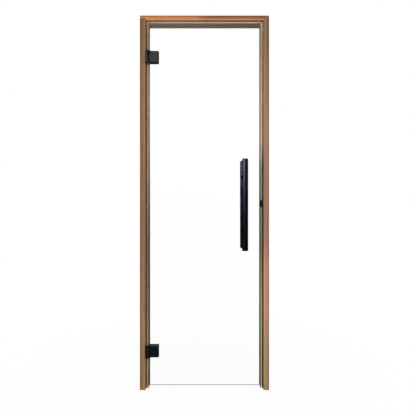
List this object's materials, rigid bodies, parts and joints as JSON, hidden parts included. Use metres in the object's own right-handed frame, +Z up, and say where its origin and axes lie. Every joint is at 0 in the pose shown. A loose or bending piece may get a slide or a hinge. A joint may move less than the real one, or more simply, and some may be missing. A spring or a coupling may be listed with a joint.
{
  "type": "glass sauna door in a timber frame",
  "caption": "Frameless clear glass sauna door hung on black clamp hinges in a rebated timber frame, with upright bar pulls and a magnetic catch.",
  "frame": {"origin": "on the outer side face of the hinge jamb, at floor level and at the middle of the frame's depth", "axes": "+X from the hinge jamb to the latch jamb, +Y from the outside into the sauna, +Z up"},
  "size_m": [0.69, 0.149, 2],
  "materials": {
    "hinge_jamb_wood": "heat-treated timber, straight grain, oiled",
    "latch_jamb_wood": "heat-treated timber, straight grain, oiled",
    "head_wood": "heat-treated timber, straight grain, oiled",
    "silicone": "pale translucent silicone",
    "gasket_rubber": "black sheet",
    "glass": "clear toughened, polished edges",
    "hinge_black": "black powder coat, satin",
    "pull_black": "black powder coat, satin",
    "black_fixings": "blackened steel",
    "catch_plastic": "black moulded",
    "magnet_steel": "dark plated",
    "strike_steel": "dark plated"
  },
  "bodies": {
    "door_frame": {"hinge_jamb": "hinge_jamb_wood", "latch_jamb": "latch_jamb_wood", "head_rail": "head_wood", "head_screws": "black_fixings", "hinge_side_seal": "silicone", "latch_side_seal_lower": "silicone", "latch_side_seal_upper": "silicone", "head_seal": "silicone", "catch_housing": "catch_plastic", "catch_magnet": "magnet_steel", "catch_screws": "black_fixings", "upper_hinge_frame_leaf": "hinge_black", "upper_hinge_pin": "black_fixings", "upper_hinge_leaf_screws": "black_fixings", "lower_hinge_frame_leaf": "hinge_black", "lower_hinge_pin": "black_fixings", "lower_hinge_leaf_screws": "black_fixings"},
    "door_leaf": {"glass_pane": "glass", "strike_plate": "strike_steel", "pull_gaskets": "gasket_rubber", "pull_studs": "black_fixings", "upper_clamp_outer_plate": "hinge_black", "upper_clamp_inner_plate": "hinge_black", "upper_clamp_gasket": "gasket_rubber", "upper_clamp_screws": "black_fixings", "lower_clamp_outer_plate": "hinge_black", "lower_clamp_inner_plate": "hinge_black", "lower_clamp_gasket": "gasket_rubber", "lower_clamp_screws": "black_fixings", "outer_pull_bar": "pull_black", "outer_pull_end_caps": "pull_black", "outer_pull_collars": "pull_black", "outer_pull_upper_post": "pull_black", "outer_pull_lower_post": "pull_black", "inner_pull_bar": "pull_black", "inner_pull_end_caps": "pull_black", "inner_pull_collars": "pull_black", "inner_pull_upper_post": "pull_black", "inner_pull_lower_post": "pull_black"}
  },
  "joints": [
    {"name": "leaf_swing", "type": "hinge", "parent": "door_frame", "child": "door_leaf", "pos_m": [0.0375, -0.04, 0.205], "axis": [0, 0, -1], "range_deg": [0, 165]}
  ]
}
